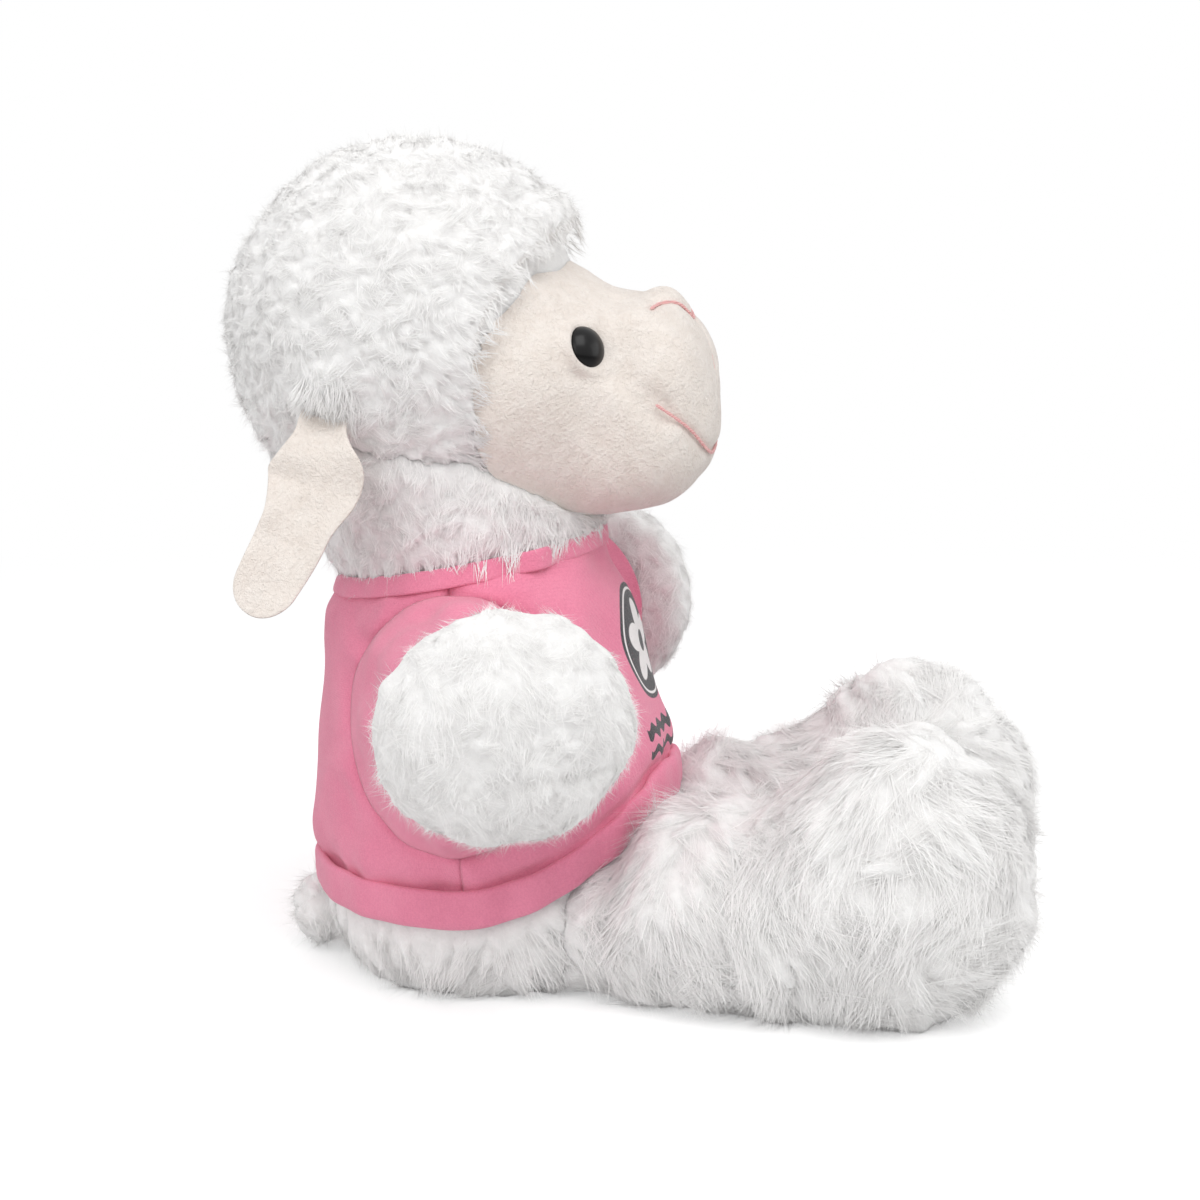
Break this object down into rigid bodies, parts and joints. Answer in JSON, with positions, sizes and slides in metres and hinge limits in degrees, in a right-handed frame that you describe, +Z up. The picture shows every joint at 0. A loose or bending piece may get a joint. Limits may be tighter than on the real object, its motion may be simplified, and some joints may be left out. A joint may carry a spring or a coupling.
{
  "type": "plush lamb with t-shirt",
  "caption": "Stuffed lamb in a T-shirt, sitting with outstretched legs; its head, ears, arms, legs and tail turn at their seams.",
  "frame": {"origin": "middle of the toy's width and length, on the plane it sits on", "axes": "+Z up, the lamb faces -Y, its own right side is at -X"},
  "size_m": [0.1639, 0.1826, 0.1886],
  "materials": {
    "fleece": "long curly pile, white",
    "short_pile_plush": "short soft pile, cream",
    "jersey": "fine knit, pink",
    "filling": "loose fibre",
    "thread": "embroidery thread, salmon pink",
    "eye_plastic": "polished black",
    "washer_plastic": "moulded, natural white"
  },
  "bodies": {
    "torso": {"torso_fleece": "fleece", "torso_filling": "filling", "shirt_front_panel": "jersey", "shirt_back_panel": "jersey", "shirt_hem": "jersey", "shirt_neckband": "jersey", "shirt_sleeve_right": "jersey", "shirt_sleeve_left": "jersey"},
    "head": {"head_fleece": "fleece", "head_filling": "filling", "face_panel": "short_pile_plush", "eye_right": "eye_plastic", "eye_left": "eye_plastic", "eye_washer_right": "washer_plastic", "eye_washer_left": "washer_plastic", "nose_stitching": "thread", "mouth_stitching": "thread"},
    "ear_right": {"ear_right_outer_layer": "short_pile_plush", "ear_right_inner_layer": "short_pile_plush"},
    "ear_left": {"ear_left_outer_layer": "short_pile_plush", "ear_left_inner_layer": "short_pile_plush"},
    "arm_right": {"arm_right_fleece": "fleece", "arm_right_filling": "filling"},
    "arm_left": {"arm_left_fleece": "fleece", "arm_left_filling": "filling"},
    "leg_right": {"leg_right_fleece": "fleece", "leg_right_filling": "filling"},
    "leg_left": {"leg_left_fleece": "fleece", "leg_left_filling": "filling"},
    "tail": {"tail_fleece": "fleece"}
  },
  "joints": [
    {"name": "head_turn", "type": "hinge", "parent": "torso", "child": "head", "pos_m": [0, 0.04827, 0.146], "axis": [0, 0, 1], "range_deg": [-20, 20], "stiffness_Nm_per_rad": 0.1},
    {"name": "arm_right_raise", "type": "hinge", "parent": "torso", "child": "arm_right", "pos_m": [-0.0325, 0.03127, 0.073], "axis": [0, 1, 0], "range_deg": [-5, 28], "stiffness_Nm_per_rad": 0.15, "deforming": ["shirt_sleeve_right"]},
    {"name": "arm_left_raise", "type": "hinge", "parent": "torso", "child": "arm_left", "pos_m": [0.0325, 0.03127, 0.073], "axis": [0, -1, 0], "range_deg": [-12, 20], "stiffness_Nm_per_rad": 0.15, "deforming": ["shirt_sleeve_left"]},
    {"name": "leg_right_swing", "type": "hinge", "parent": "torso", "child": "leg_right", "pos_m": [-0.0215, 0.00327, 0.0168], "axis": [0, 0, -1], "range_deg": [-4, 20], "stiffness_Nm_per_rad": 0.15},
    {"name": "leg_left_swing", "type": "hinge", "parent": "torso", "child": "leg_left", "pos_m": [0.0215, 0.00327, 0.0168], "axis": [0, 0, 1], "range_deg": [-4, 20], "stiffness_Nm_per_rad": 0.15},
    {"name": "ear_right_lift", "type": "hinge", "parent": "head", "child": "ear_right", "pos_m": [-0.04174, 0.05868, 0.13119], "axis": [0, 0.9548, 0.2971], "range_deg": [-2, 35], "stiffness_Nm_per_rad": 0.003},
    {"name": "ear_left_lift", "type": "hinge", "parent": "head", "child": "ear_left", "pos_m": [0.04174, 0.05868, 0.13119], "axis": [0, -0.9548, -0.2971], "range_deg": [-2, 35], "stiffness_Nm_per_rad": 0.003},
    {"name": "tail_wag", "type": "hinge", "parent": "torso", "child": "tail", "pos_m": [0, 0.06637, 0.0098], "axis": [0, 0, 1], "range_deg": [-15, 15], "stiffness_Nm_per_rad": 0.01}
  ]
}
